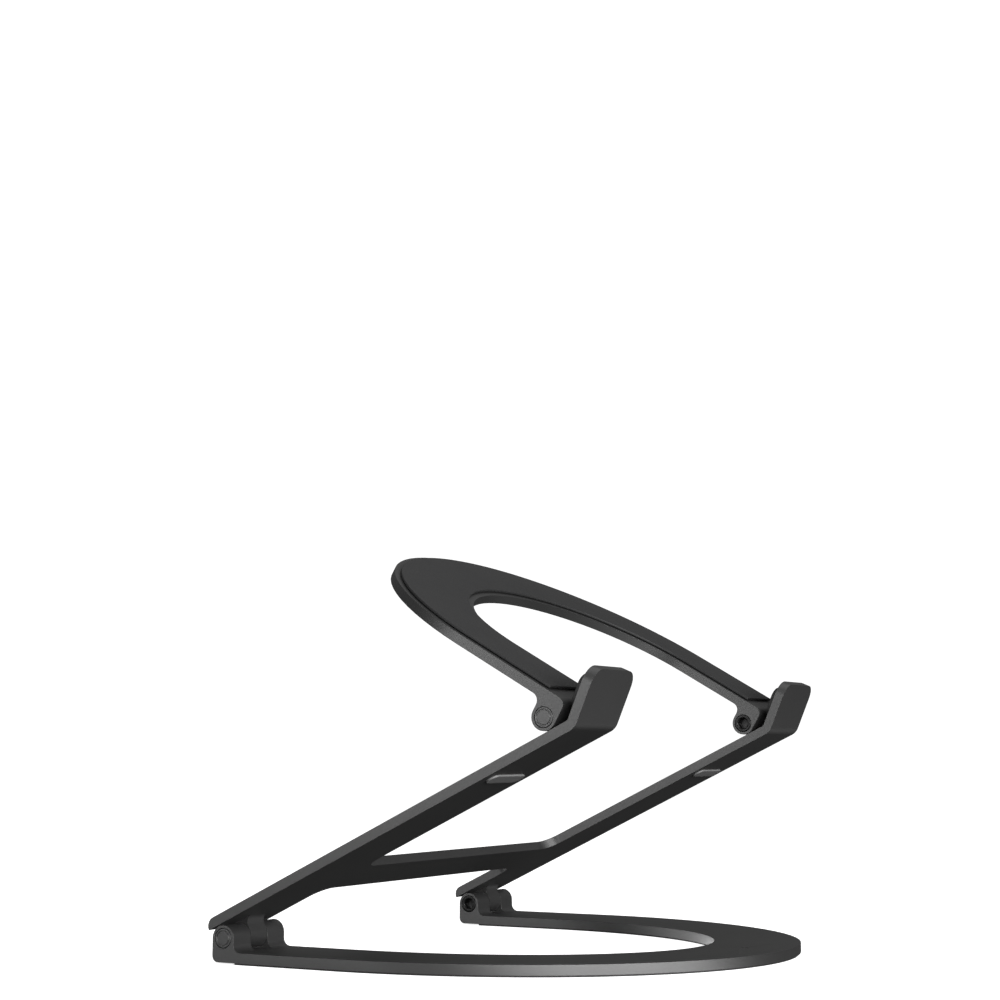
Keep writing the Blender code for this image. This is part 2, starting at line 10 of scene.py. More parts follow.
import bmesh
import bpy
import numpy as np
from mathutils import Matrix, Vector


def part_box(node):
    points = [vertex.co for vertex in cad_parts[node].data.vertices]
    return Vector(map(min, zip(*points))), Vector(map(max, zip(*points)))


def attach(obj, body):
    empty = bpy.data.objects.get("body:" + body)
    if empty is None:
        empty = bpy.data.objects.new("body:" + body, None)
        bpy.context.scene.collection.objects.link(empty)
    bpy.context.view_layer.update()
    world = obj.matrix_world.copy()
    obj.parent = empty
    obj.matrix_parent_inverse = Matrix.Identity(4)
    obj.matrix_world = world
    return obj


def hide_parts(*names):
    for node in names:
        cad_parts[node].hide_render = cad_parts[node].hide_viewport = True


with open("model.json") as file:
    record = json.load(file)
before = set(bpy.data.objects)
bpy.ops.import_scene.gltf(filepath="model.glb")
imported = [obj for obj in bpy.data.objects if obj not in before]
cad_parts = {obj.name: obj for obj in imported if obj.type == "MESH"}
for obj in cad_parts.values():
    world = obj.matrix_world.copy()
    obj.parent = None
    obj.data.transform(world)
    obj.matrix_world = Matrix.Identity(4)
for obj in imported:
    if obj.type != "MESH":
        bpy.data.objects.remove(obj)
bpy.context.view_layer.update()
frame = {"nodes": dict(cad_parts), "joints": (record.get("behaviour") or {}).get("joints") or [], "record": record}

LOG = logging.getLogger("laptop_stand")
MM = 0.001
WHITE = (1.0, 1.0, 1.0, 1.0)
Shader = bpy.types.Node
Piece = bpy.types.Object


class Side(Enum):
    """A side of the stand, as the sign of its X."""

    LEFT = -1
    RIGHT = 1

    @property
    def label(self) -> str:
        """Name used at the start of the side's pieces."""
        return self.name.lower()


# ---------------------------------------------------------------- finishes

# Octaves of the two noises, and the span that holds nearly all of a noise's values.
MOTTLE_DETAIL = 3.0
GRAIN_DETAIL = 2.0
NOISE_LOW = 0.3
NOISE_HIGH = 0.7
# A finish at least this metallic keeps the shader's own specular level.
METAL_FROM = 0.5
# Numbers of a Mix node's sockets: the share, the first and second colours, and the resulting colour.
MIX_SHARE, MIX_FIRST, MIX_SECOND, MIX_RESULT = 0, 6, 7, 2


def linear(code: str) -> tuple[float, float, float, float]:
    """Turn an sRGB hex colour to linear RGBA.

    A channel c up to 0.04045 is divided by 12.92. A higher one is ((c + 0.055) / 1.055) to the power 2.4.

    Args:
        code: Six hex digits with a leading hash.

    Returns:
        Linear red, green, blue, and alpha 1.
    """
    parts = np.array([int(code[k:k + 2], 16) for k in (1, 3, 5)]) / 255.0
    flat = np.where(parts <= 0.04045, parts / 12.92, ((parts + 0.055) / 1.055) ** 2.4)
    return (*flat.tolist(), 1.0)


def add_node(tree: bpy.types.NodeTree, kind: str, settings: dict | None = None,
             links: dict | None = None) -> Shader:
    """Add one node with its settings and links.

    Args:
        tree: The node tree.
        kind: The node's type name.
        settings: Attribute values, and socket values under the socket's name or number.
        links: Source sockets under the input socket's name or number.

    Returns:
        The new node.
    """
    node = tree.nodes.new(kind)
    for key, value in (settings or {}).items():
        if isinstance(key, str) and hasattr(node, key) and key not in node.inputs:
            setattr(node, key, value)
        else:
            node.inputs[key].default_value = value
    for key, source in (links or {}).items():
        tree.links.new(source, node.inputs[key])
    return node


@dataclass(frozen=True)
class Finish:
    """A real material with two tones, a mottle that mixes them, and a fine grain.

    The mottle is the slow variation of the tone, and the grain is the surface's own texture in bump and
    roughness. Both are sized in millimetres on Object coordinates.
    """

    name: str
    tone: str
    second_tone: str
    metallic: float
    roughness: float
    roughness_spread: float
    mottle_mm: float
    grain_mm: float
    grain_depth_mm: float
    specular: float = 0.5
    stretch: tuple[float, float, float] = (1.0, 1.0, 1.0)

    def make(self) -> bpy.types.Material:
        """Build the node tree.

        Returns:
            The material.
        """
        made = bpy.data.materials.new(self.name)
        made.use_nodes = True
        tree = made.node_tree
        shader = tree.nodes["Principled BSDF"]
        place = add_node(tree, "ShaderNodeTexCoord")
        stretched = add_node(tree, "ShaderNodeMapping", {"Scale": self.stretch},
                             {"Vector": place.outputs["Object"]})
        vector = {"Vector": stretched.outputs["Vector"]}
        mottle = add_node(tree, "ShaderNodeTexNoise",
                          {"Scale": 1 / (self.mottle_mm * MM), "Detail": MOTTLE_DETAIL}, vector)
        grain = add_node(tree, "ShaderNodeTexNoise",
                         {"Scale": 1 / (self.grain_mm * MM), "Detail": GRAIN_DETAIL}, vector)
        tones = add_node(tree, "ShaderNodeMix",
                         {"data_type": "RGBA", MIX_FIRST: linear(self.tone),
                          MIX_SECOND: linear(self.second_tone)}, {MIX_SHARE: mottle.outputs["Fac"]})
        rough = add_node(tree, "ShaderNodeMapRange",
                         {"From Min": NOISE_LOW, "From Max": NOISE_HIGH,
                          "To Min": self.roughness - self.roughness_spread,
                          "To Max": self.roughness + self.roughness_spread}, {"Value": grain.outputs["Fac"]})
        bump = add_node(tree, "ShaderNodeBump", {"Strength": 1.0, "Distance": self.grain_depth_mm * MM},
                        {"Height": grain.outputs["Fac"]})
        tree.links.new(tones.outputs[MIX_RESULT], shader.inputs["Base Color"])
        tree.links.new(rough.outputs["Result"], shader.inputs["Roughness"])
        tree.links.new(bump.outputs["Normal"], shader.inputs["Normal"])
        shader.inputs["Metallic"].default_value = self.metallic
        if self.metallic < METAL_FROM:
            shader.inputs["Specular IOR Level"].default_value = self.specular
        return made


# Bead-blasted and anodised aluminium: a satin dark grey whose blast grain spreads every highlight. The real
# grain is about 0.1 mm, drawn at 0.45 mm so that it shows.
ANODISED = Finish("anodised_aluminium_bead_blasted", tone="#4b4b4b", second_tone="#454545", metallic=0.85,
                  roughness=0.42, roughness_spread=0.03, mottle_mm=22.0, grain_mm=0.45,
                  grain_depth_mm=0.0015)
# The same anodising on a turned face, whose lathe lines make it a little smoother and darker.
TURNED = Finish("anodised_aluminium_turned", tone="#494949", second_tone="#464646", metallic=0.85,
                roughness=0.40, roughness_spread=0.03, mottle_mm=6.0, grain_mm=0.3, grain_depth_mm=0.0015)
# Blackened steel: an oxide layer that leaves a dark, slightly oily sheen.
BLACK_STEEL = Finish("blackened_steel_screw", tone="#262626", second_tone="#1e1e1e", metallic=0.9,
                     roughness=0.34, roughness_spread=0.06, mottle_mm=4.0, grain_mm=0.35,
                     grain_depth_mm=0.004)
# Moulded silicone: nearly black and matt, with a dusty bloom that lightens it in patches.
SILICONE = Finish("moulded_silicone_black", tone="#121213", second_tone="#191919", metallic=0.0,
                  roughness=0.66, roughness_spread=0.06, mottle_mm=14.0, grain_mm=0.5,
                  grain_depth_mm=0.012, specular=0.35)
# Moulded rubber of the fold bumpers: a dark grey, lighter than the silicone, with a soft sheen.
GREY_RUBBER = Finish("moulded_rubber_grey", tone="#585858", second_tone="#525252", metallic=0.0,
                     roughness=0.56, roughness_spread=0.05, mottle_mm=8.0, grain_mm=0.5,
                     grain_depth_mm=0.01, specular=0.4)
# Rolled spring steel: bright, with fine lines from rolling.
SPRING_STEEL = Finish("rolled_spring_steel", tone="#b4b5b6", second_tone="#a2a3a5", metallic=1.0,
                      roughness=0.3, roughness_spread=0.06, mottle_mm=5.0, grain_mm=0.3,
                      grain_depth_mm=0.003, stretch=(1.0, 4.0, 1.0))
# Sintered bronze: dull and porous, with darker oil-filled pores.
BRONZE = Finish("sintered_bearing_bronze", tone="#a8793f", second_tone="#7d5a30", metallic=1.0,
                roughness=0.42, roughness_spread=0.07, mottle_mm=2.0, grain_mm=0.4, grain_depth_mm=0.012)


# ---------------------------------------------------------------- surfaces

# Points of a new mesh that are closer than this are one point.
MERGE_DISTANCE = 1e-7
# A new mesh is shaded smooth across edges that turn by less than this.
SHARP_ANGLE = math.radians(50)
# Largest share of a side that one corner's curve takes, and what keeps a side without length from dividing
# by zero.
SIDE_SHARE = 0.45
TINY = 1e-12
# The weighting's highest value, at which the larger faces set a corner's normal.
AREA_WEIGHT = 100
# Radius of a profile at its axis, and the least radius of a pad's corner.
POINT_RADIUS = 1e-5
# A corner radius for pads that are as round as their width allows, and the share of half the width it takes.
FULL_ROUND = math.inf
ROUND_SHARE = 0.999
# Segments round a pad's rim, and how far out the rings of its top lie.
RIM_STEPS = 6
PAD_RINGS = (0.96, 0.88, 0.75, 0.55, 0.3, 0.08)
# Segments of a U-shaped sheet: round its closed end, along a leg, round a leg's end and round an edge.
NOSE_STEPS = 120
LEG_STEPS = 7
END_STEPS = 5
EDGE_STEPS = 4


def turn_x(points: np.ndarray, angle: float, origin: Sequence[float]) -> np.ndarray:
    """Turn local points about X and move them to an origin.

    Args:
        points: Array of local (x, y, z).
        angle: Turn about +X in radians.
        origin: Where the local origin goes.

    Returns:
        Array of placed points.
    """
    c, s = math.cos(angle), math.sin(angle)
    turn = np.array([[1, 0, 0], [0, c, -s], [0, s, c]])
    return points @ turn.T + np.asarray(origin)


def grid_piece(name: str, grid: np.ndarray, ring: bool = False) -> Piece:
    """Make a mesh of a grid whose second index goes round and closes.

    Unless the grid is a ring, its first and its last row are each filled by a fan to their middle.

    Args:
        name: The piece's name.
        grid: Array of shape (rows, steps, 3).
        ring: Whether the last row joins the first.

    Returns:
        The piece, with outward faces and smooth shading.
    """
    rows, steps, _ = grid.shape
    index = np.arange(rows * steps).reshape(rows, steps)
    upper = np.vstack([index[1:], index[:1]]) if ring else index[1:]
    lower = index if ring else index[:-1]
    quads = np.stack([lower, np.roll(lower, -1, 1), np.roll(upper, -1, 1), upper], -1).reshape(-1, 4)
    points = grid.reshape(-1, 3)
    faces = quads.tolist()
    if not ring:
        points = np.vstack([points, grid[0].mean(0), grid[-1].mean(0)])
        first, last = np.full(steps, rows * steps), np.full(steps, rows * steps + 1)
        faces += np.stack([first, np.roll(index[0], -1), index[0]], -1).tolist()
        faces += np.stack([last, index[-1], np.roll(index[-1], -1)], -1).tolist()
    mesh = bpy.data.meshes.new(name)
    mesh.from_pydata(points.tolist(), [], faces)
    work = bmesh.new()
    work.from_mesh(mesh)
    bmesh.ops.remove_doubles(work, verts=work.verts, dist=MERGE_DISTANCE)
    bmesh.ops.recalc_face_normals(work, faces=work.faces)
    work.to_mesh(mesh)
    work.free()
    mesh.shade_smooth()
    mesh.set_sharp_from_angle(angle=SHARP_ANGLE)
    made = bpy.data.objects.new(name, mesh)
    bpy.context.scene.collection.objects.link(made)
    return made


def softened(profile: Sequence[Sequence[float]], radius: float, closed: bool, steps: int = 4) -> np.ndarray:
    """Round every corner of a profile.

    Each corner is replaced by a quadratic curve from a point before it to a point after it, with the corner
    as its control point. Both points are the radius away, or SIDE_SHARE of the shorter side if that is less.

    Args:
        profile: The corners. Columns past the second are carried along.
        radius: How far a curve reaches along its sides.
        closed: Whether the last corner joins the first.
        steps: Segments per curve.

    Returns:
        Array of points.
    """
    corners = np.asarray(profile, float)
    count = len(corners)
    found = [] if closed else [corners[:1]]
    for k in (range(count) if closed else range(1, count - 1)):
        here, before, after = corners[k], corners[k - 1], corners[(k + 1) % count]
        back, ahead = before - here, after - here
        near = np.linalg.norm(back[:2]) + TINY
        far = np.linalg.norm(ahead[:2]) + TINY
        reach = min(radius, SIDE_SHARE * near, SIDE_SHARE * far)
        t = np.linspace(0, 1, steps + 1)[:, None]
        start, end = here + back / near * reach, here + ahead / far * reach
        found.append((1 - t) ** 2 * start + 2 * t * (1 - t) * here + t ** 2 * end)
    return np.vstack(found if closed else found + [corners[-1:]])


def flatten(piece: Piece) -> None:
    """Weight a piece's normals by face area, so its flats shade flat right up to their rounded edges.

    Args:
        piece: The piece.
    """
    weights = piece.modifiers.new("flat_faces", "WEIGHTED_NORMAL")
    weights.mode = "FACE_AREA"
    weights.weight = AREA_WEIGHT
    weights.keep_sharp = True


def lathe(name: str, profile: np.ndarray, centre: Sequence[float], out: float, ring: bool,
          steps: int = 72) -> Piece:
    """Turn a profile about a line along X.

    A point is (out * depth from the centre, R cos a, R sin a). A third column h blends the circle of radius
    R to a hexagon with corners at R: R is multiplied by 1 - h + h cos 30 / cos((a mod 60) - 30), in degrees.

    Args:
        name: The piece's name.
        profile: Rows of (depth, radius) or (depth, radius, h).
        centre: Point on the axis at depth 0.
        out: -1 or 1, the X direction that depth runs in.
        ring: Whether the profile is a closed loop.
        steps: Segments round the axis.

    Returns:
        The piece.
    """
    a = np.arange(steps) * 2 * math.pi / steps
    hexagon = math.cos(math.pi / 6) / np.cos(np.mod(a, math.pi / 3) - math.pi / 6)
    blend = profile[:, 2:3] if profile.shape[1] > 2 else np.zeros((len(profile), 1))
    radius = profile[:, 1:2] * (1 - blend + blend * hexagon[None])
    x = np.repeat(out * profile[:, :1], steps, 1)
    grid = np.stack([x, radius * np.cos(a), radius * np.sin(a)], -1) + np.asarray(centre)
    made = grid_piece(name, grid, ring)
    flatten(made)
    return made


def pad_grid(half: tuple[float, float], corner: float, height: float, edge: float, crown: float,
             steps: int = 12) -> np.ndarray:
    """Points of a pad with round corners, a rounded rim and a crowned top.

    The outline is a rounded rectangle moved inwards by d. The rim follows a quarter circle of radius edge:
    d = edge (1 - cos a), z = height - edge (1 - sin a). Past it the rings shrink to the middle by a factor
    k, and the top rises by crown (1 - k squared).

    Args:
        half: Half width and half length.
        corner: Corner radius.
        height: Height of the rim.
        edge: Rim radius.
        crown: Rise of the middle over the rim.
        steps: Segments per corner.

    Returns:
        Array of shape (rows, points round, 3).
    """
    a = np.linspace(0, math.pi / 2, RIM_STEPS + 1)
    rim = [(edge * (1 - math.cos(t)), 1.0, height - edge * (1 - math.sin(t))) for t in a]
    top = [(edge, k, height + crown * (1 - k * k)) for k in PAD_RINGS]
    rows = []
    for inset, scale, z in [(0.0, 1.0, 0.0)] + rim + top:
        r = max(corner - inset, POINT_RADIUS)
        turns = np.linspace(0, math.pi / 2, steps + 1)
        quarter = np.concatenate([turns + q * math.pi / 2 for q in range(4)])
        sx = np.repeat([1, -1, -1, 1], steps + 1)
        sy = np.repeat([1, 1, -1, -1], steps + 1)
        x = sx * (half[0] - corner) + r * np.cos(quarter)
        y = sy * (half[1] - corner) + r * np.sin(quarter)
        rows.append(np.stack([x * scale, y * scale, np.full_like(x, z)], -1))
    return np.array(rows)


def band_grid(plan: tuple[float, float, float, float], half: tuple[float, float], inset: float, ends: float,
              way: float, heights: tuple[float, float], edge: float) -> np.ndarray:
    """Points of a U-shaped sheet with rounded edges.

    The U's outer and inner edges are straight legs that close in half ellipses. A rounded rectangle is
    carried along it: each of its points is inner (1 - v) + outer v at height z, and at both ends it shrinks
    along a quarter circle.

    Args:
        plan: Outer reach and nose, inner reach and nose.
        half: Outer and inner half widths.
        inset: How far the sheet stays inside the plan.
        ends: Y of the legs' ends.
        way: Direction of the closed end, -1 or 1.
        heights: Lowest and highest z.
        edge: Radius of the edges.

    Returns:
        Array of shape (stations, points round, 3).
    """
    reach, nose, inner_reach, inner_nose = plan
    low, high = heights
    a = np.linspace(0, math.pi, NOSE_STEPS + 1)
    end_turns = np.linspace(0, math.pi / 2, END_STEPS + 1)
    rise = way * edge * (1 - np.cos(end_turns[::-1]))[::-1]
    leg_shrink = np.concatenate([edge * (1 - np.sin(end_turns)), np.zeros(LEG_STEPS)])

    def line(half_x: float, start: float, length: float) -> np.ndarray:
        """Draw one edge of the U from end to end.

        Args:
            half_x: Its distance from the centre line.
            start: Distance from the axis at which its legs end and its half ellipse starts.
            length: Reach of the half ellipse.

        Returns:
            Array of (x, y).
        """
        arc = np.stack([-half_x * np.cos(a), way * (start + length * np.sin(a))], -1)
        along = np.linspace(ends + way * 2 * edge, way * start, LEG_STEPS + 1)[:-1]
        leg_y = np.concatenate([ends + rise, along])
        first = np.stack([np.full_like(leg_y, -half_x), leg_y], -1)
        return np.vstack([first, arc, first[::-1] * (-1, 1)])

    outer = line(half[0] - inset, reach - nose, nose - inset)
    inner = line(half[1] + inset, inner_reach - inner_nose, inner_nose + inset)
    shrink = np.concatenate([leg_shrink, np.zeros(len(a)), leg_shrink[::-1]])
    across = outer - inner
    width = np.linalg.norm(across, axis=1)
    corner = np.linspace(0, math.pi / 2, EDGE_STEPS + 1)
    stations = []
    for q, (v_end, z_end) in enumerate(((1, 1), (0, 1), (0, 0), (1, 0))):
        t = corner + q * math.pi / 2
        u = edge - edge * np.abs(np.cos(t))
        w = edge - edge * np.abs(np.sin(t))
        stations.append(np.stack([np.full_like(t, v_end), u, np.full_like(t, z_end), w], -1))
    rows = []
    for v_end, u, z_end, w in np.vstack(stations):
        share = (u + shrink) / width
        v = 1 - share if v_end else share
        z = (high - w - shrink) if z_end else (low + w + shrink)
        rows.append(np.concatenate([inner + across * v[:, None], z[:, None] * np.ones((len(v), 1))], 1))
    return np.array(rows).transpose(1, 0, 2)


# ---------------------------------------------------------------- sub-assemblies


def finish_piece(piece: Piece, node: str, body: str, finish: bpy.types.Material) -> None:
    """Dress a new piece and put it in its CAD node's place.

    Args:
        piece: The new piece.
        node: The CAD node it stands for.
        body: The body it rides on.
        finish: Its material.
    """
    piece.data.materials.clear()
    piece.data.materials.append(finish)
    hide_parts(node)
    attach(piece, body)
    LOG.info("%s rides on %s", piece.name, body)


def joint_place(name: str) -> Vector:
    """Point on a joint's axis in the middle of the stand."""
    return Vector(next(j for j in frame["joints"] if j["name"] == name)["pos_m"])


def mount_axis(name: str) -> Vector:
    """Outward direction of one of the record's mounts."""
    return Vector(next(m for m in frame["record"]["mounts"] if m["name"] == name)["axis"])


@dataclass
class Plates:
    """The three machined plates, whose edges are broken with a fine round.

    The round is what catches the light along each plate. Only the seat of the front plug stays sharp: its
    edges lie within plug_reach of the plug's middle.
    """

    edge: float = 0.55 * MM
    segments: int = 3
    edge_angle: float = math.radians(32)
    plug_reach: float = 4.0 * MM
    merge: float = 0.001 * MM

    def plate(self, node: str) -> Piece:
        """Copy a plate, merge its loose triangles and round its edges.

        Args:
            node: The CAD node.

        Returns:
            The rounded plate.
        """
        source = frame["nodes"][node].data
        mesh = bpy.data.meshes.new(f"{node}_finished")
        points = np.zeros(len(source.vertices) * 3, np.float32)
        source.vertices.foreach_get("co", points)
        corners = np.zeros(len(source.loops), np.int32)
        source.loops.foreach_get("vertex_index", corners)
        mesh.from_pydata(points.reshape(-1, 3).tolist(), [], corners.reshape(-1, 3).tolist())
        work = bmesh.new()
        work.from_mesh(mesh)
        bmesh.ops.remove_doubles(work, verts=work.verts, dist=self.merge)
        weight = work.edges.layers.float.new("bevel_weight_edge")
        plug_low, plug_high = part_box("front_plug")
        plug = (plug_low + plug_high) / 2
        for edge in work.edges:
            near_plug = (edge.verts[0].co - plug).length < self.plug_reach
            edge[weight] = float(edge.calc_face_angle(0.0) > self.edge_angle and not near_plug)
        work.to_mesh(mesh)
        work.free()
        mesh.shade_smooth()
        made = bpy.data.objects.new(f"{node}_finished", mesh)
        bpy.context.scene.collection.objects.link(made)
        edges = made.modifiers.new("broken_edges", "BEVEL")
        edges.width = self.edge
        edges.segments = self.segments
        edges.limit_method = "WEIGHT"
        edges.use_clamp_overlap = True
        edges.miter_outer = "MITER_ARC"
        flatten(made)
        return made

    def dress(self, metal: bpy.types.Material) -> None:
        """Make and dress the three plates."""
        for node, body in (("base_frame", "base"), ("middle_frame", "mid_frame"),
                           ("top_frame", "top_frame_body")):
            finish_piece(self.plate(node), node, body, metal)


@dataclass
class Pads:
    """Silicone sheets, hook facings, fold bumpers and the front plug.

    A plan is a U's outer reach and nose, and its inner reach and nose. An edge is a rim's radius, and a
    crown is how far the middle of a pad stands over its rim.
    """

    outer_half: float = 133.0 * MM
    inner_half: float = 93.0 * MM
    base_plan: tuple[float, float, float, float] = (0.220, 0.161, 0.179, 0.130)
    base_inset: float = 0.8 * MM
    base_start: float = -5.8 * MM
    base_edge: float = 0.3 * MM
    top_plan: tuple[float, float, float, float] = (0.147, 0.095, 0.107, 0.062)
    top_inset: float = 3.0 * MM
    top_start: float = 5.0 * MM
    top_edge: float = 0.4 * MM
    top_low: float = 11.15 * MM
    top_thickness: float = 1.3 * MM
    hook_corner: float = 5.0 * MM
    hook_edge: float = 0.6 * MM
    hook_crown: float = 0.05 * MM
    hook_turn: float = math.radians(41.5)
    bumper_edge: float = 0.35 * MM
    bumper_crown: float = 0.03 * MM
    plug_edge: float = 0.5 * MM
    plug_crown: float = 0.1 * MM

    def foot_sheet(self, silicone: bpy.types.Material) -> None:
        """Make the sheet under the base.

        Args:
            silicone: Its material.
        """
        halves = (self.outer_half, self.inner_half)
        low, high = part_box("base_pad")
        grid = band_grid(self.base_plan, halves, self.base_inset, self.base_start, -1.0, (low.z, high.z),
                         self.base_edge)
        grid += np.array([0, joint_place("base_hinge").y, 0])
        finish_piece(grid_piece("foot_sheet", grid), "base_pad", "base", silicone)

    def top_sheet(self, silicone: bpy.types.Material) -> None:
        """Make the sheet on the top frame, level at first and then turned to the laptop's slope.

        Args:
            silicone: Its material.
        """
        halves = (self.outer_half, self.inner_half)
        normal = mount_axis("laptop_rest")
        slope = math.atan2(-normal.y, normal.z)
        heights = (self.top_low, self.top_low + self.top_thickness)
        grid = band_grid(self.top_plan, halves, self.top_inset, self.top_start, 1.0, heights,
                         self.top_edge)
        grid = turn_x(grid, slope, joint_place("top_hinge"))
        finish_piece(grid_piece("top_sheet", grid), "top_pad", "top_frame_body", silicone)

    def pad_on(self, name: str, node: str, normal: Vector, corner: float, edge: float,
               crown: float) -> Piece:
        """Make a pad in a CAD node's place.

        Args:
            name: The piece's name.
            node: The CAD node, whose vertices give the pad's middle and sizes along its own axes.
            normal: Direction the pad's crown faces.
            corner: Corner radius.
            edge: Rim radius.
            crown: Rise of its middle.

        Returns:
            The pad.
        """
        mesh = frame["nodes"][node].data
        points = np.zeros(len(mesh.vertices) * 3, np.float32)
        mesh.vertices.foreach_get("co", points)
        points = points.reshape(-1, 3).astype(float)
        n = np.array(normal.normalized())
        x = np.array([1.0, 0.0, 0.0])
        y = np.cross(n, x)
        axes = np.stack([x, y, n])
        local = points @ axes.T
        low, high = local.min(0), local.max(0)
        half = ((high[0] - low[0]) / 2, (high[1] - low[1]) / 2)
        grid = pad_grid(half, min(corner, half[1] * ROUND_SHARE), high[2] - low[2] - crown, edge, crown)
        middle = (low + high) / 2
        middle[2] = low[2]
        return grid_piece(name, (grid + middle) @ axes)

    def arm_down(self) -> Vector:
        """Find the direction in which the arms' undersides face.

        It is the way the hooks' inner faces look, turned about X by hook_turn and reversed.

        Returns:
            The direction.
        """
        hook = mount_axis("left_hook_face")
        c, s = math.cos(self.hook_turn), math.sin(self.hook_turn)
        return -Vector((0, hook.y * c - hook.z * s, hook.y * s + hook.z * c))

    def dress(self, silicone: bpy.types.Material, rubber: bpy.types.Material) -> None:
        """Make and dress every pad.

        Args:
            silicone: Material of the sheets, the hook facings and the plug.
            rubber: Material of the fold bumpers.
        """
        self.foot_sheet(silicone)
        self.top_sheet(silicone)
        down = self.arm_down()
        for side in Side:
            node = f"{side.label}_hook_pad"
            pad = self.pad_on(f"{node}_moulded", node, mount_axis(f"{side.label}_hook_face"),
                              self.hook_corner, self.hook_edge, self.hook_crown)
            finish_piece(pad, node, "mid_frame", silicone)
            node = f"{side.label}_fold_bumper"
            pad = self.pad_on(f"{node}_moulded", node, down, FULL_ROUND, self.bumper_edge, self.bumper_crown)
            finish_piece(pad, node, "mid_frame", rubber)
        plug = self.pad_on("front_plug_moulded", "front_plug", Vector((0, 0, 1)), FULL_ROUND,
                           self.plug_edge, self.plug_crown)
        finish_piece(plug, "front_plug", "base", silicone)


@dataclass
class HingeSet:
    """The loose pieces of one hinge, on a line along X.

    Depths run inwards from each piece's outer end, and an edge is how far the corners of a profile are
    rounded.
    """

    side: Side
    joint: str
    ear_body: str
    clearance: float = 0.3 * MM
    head_radius: float = 4.3 * MM
    head: float = 1.2 * MM
    shank: float = 2.5 * MM
    bore: float = 1.6 * MM
    bore_depth: float = 9.3 * MM
    groove_radius: float = 3.3 * MM
    groove_width: float = 0.45 * MM
    groove_depth: float = 0.28 * MM
    flat_rim: float = 0.4 * MM
    sleeve_edge: float = 0.2 * MM
    screw_head: float = 3.2 * MM
    screw_shank: float = 1.3 * MM
    screw_edge: float = 0.25 * MM
    socket_radius: float = 2.887 * MM
    socket_depth: float = 2.9 * MM
    socket_lead: float = 0.25 * MM
    ring_edge: float = 0.12 * MM
    spring_thickness: float = 0.5 * MM
    spring_rim: float = 0.3 * MM
    spring_edge: float = 0.1 * MM

    def node(self, piece: str) -> str:
        """Name of one of the hinge's CAD nodes."""
        return f"{self.side.label}_{self.joint}_{piece}"

    def span(self, piece: str) -> tuple[Vector, float]:
        """Find where one of the hinge's nodes lies on the axis.

        Args:
            piece: The node's name within the hinge.

        Returns:
            The point on the axis at its outer end, and its length.
        """
        low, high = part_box(self.node(piece))
        axis = joint_place(self.joint)
        outer = high.x if self.side is Side.RIGHT else low.x
        return Vector((outer, axis.y, axis.z)), high.x - low.x

    def turn(self, piece: str, profile: Sequence[Sequence[float]], edge: float, ring: bool, body: str,
             slot: str, finish: bpy.types.Material) -> None:
        """Turn a profile into one of the hinge's pieces and dress it.

        Args:
            piece: The node's name within the hinge.
            profile: Rows of (depth, radius) or (depth, radius, share of hexagon).
            edge: How far its corners are rounded.
            ring: Whether the profile is a closed loop.
            body: The body it rides on.
            slot: The record's material slot. Not used.
            finish: Its material.
        """
        centre, _ = self.span(piece)
        rows = softened(profile, edge, closed=ring)
        made = lathe(f"{self.node(piece)}_turned", rows, centre, -self.side.value, ring)
        finish_piece(made, self.node(piece), body, finish)

    def sleeve(self, metal: bpy.types.Material) -> None:
        """Turn the sleeve, whose head has a ring groove and whose inner end has a blind bore.

        Args:
            metal: Its material.
        """
        _, length = self.span("sleeve")
        inner = self.groove_radius - self.groove_width / 2
        outer = self.groove_radius + self.groove_width / 2
        foot = length - self.bore_depth
        profile = [(0, POINT_RADIUS), (0, inner - self.flat_rim), (0, inner), (self.groove_depth, inner),
                   (self.groove_depth, outer), (0, outer), (0, self.head_radius),
                   (self.head, self.head_radius), (self.head, self.shank), (length, self.shank),
                   (length, self.bore), (foot, self.bore), (foot, POINT_RADIUS)]
        self.turn("sleeve", profile, self.sleeve_edge, False, self.ear_body, "blackened_steel", metal)

    def screw(self, metal: bpy.types.Material) -> None:
        """Turn the screw, whose head has a hexagon socket with a short lead-in.

        Args:
            metal: Its material.
        """
        _, length = self.span("screw")
        back = length - self.screw_head
        mouth = length - self.socket_lead
        foot = length - self.socket_depth
        profile = [(0, POINT_RADIUS, 0), (0, self.screw_shank, 0), (back, self.screw_shank, 0),
                   (back, self.head_radius, 0), (length, self.head_radius, 0),
                   (length, self.socket_radius + self.socket_lead, 0), (mouth, self.socket_radius, 1),
                   (foot, self.socket_radius, 1), (foot, POINT_RADIUS, 1)]
        self.turn("screw", profile, self.screw_edge, False, self.ear_body, "blackened_steel", metal)

    def plain_ring(self, piece: str, body: str, slot: str, metal: bpy.types.Material) -> None:
        """Turn a washer or the bush, which go round the sleeve's shank.

        Args:
            piece: The node's name within the hinge.
            body: The body it rides on.
            slot: The record's material slot.
            metal: Its material.
        """
        _, length = self.span(piece)
        low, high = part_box(self.node(piece))
        radius = (high.z - low.z) / 2
        inner = self.shank + self.clearance
        profile = [(0, inner), (0, radius), (length, radius), (length, inner)]
        self.turn(piece, profile, self.ring_edge, True, body, slot, metal)

    def disc_spring(self, metal: bpy.types.Material) -> None:
        """Turn the disc spring, a shallow cone round the screw's shank.

        Args:
            metal: Its material.
        """
        _, length = self.span("disc_spring")
        inner, outer = self.screw_shank + self.clearance, self.head_radius - self.clearance
        profile = [(length, inner), (length - self.spring_thickness, inner), (0, outer),
                   (length - self.spring_rim, outer)]
        self.turn("disc_spring", profile, self.spring_edge, True, self.ear_body, "spring_steel", metal)

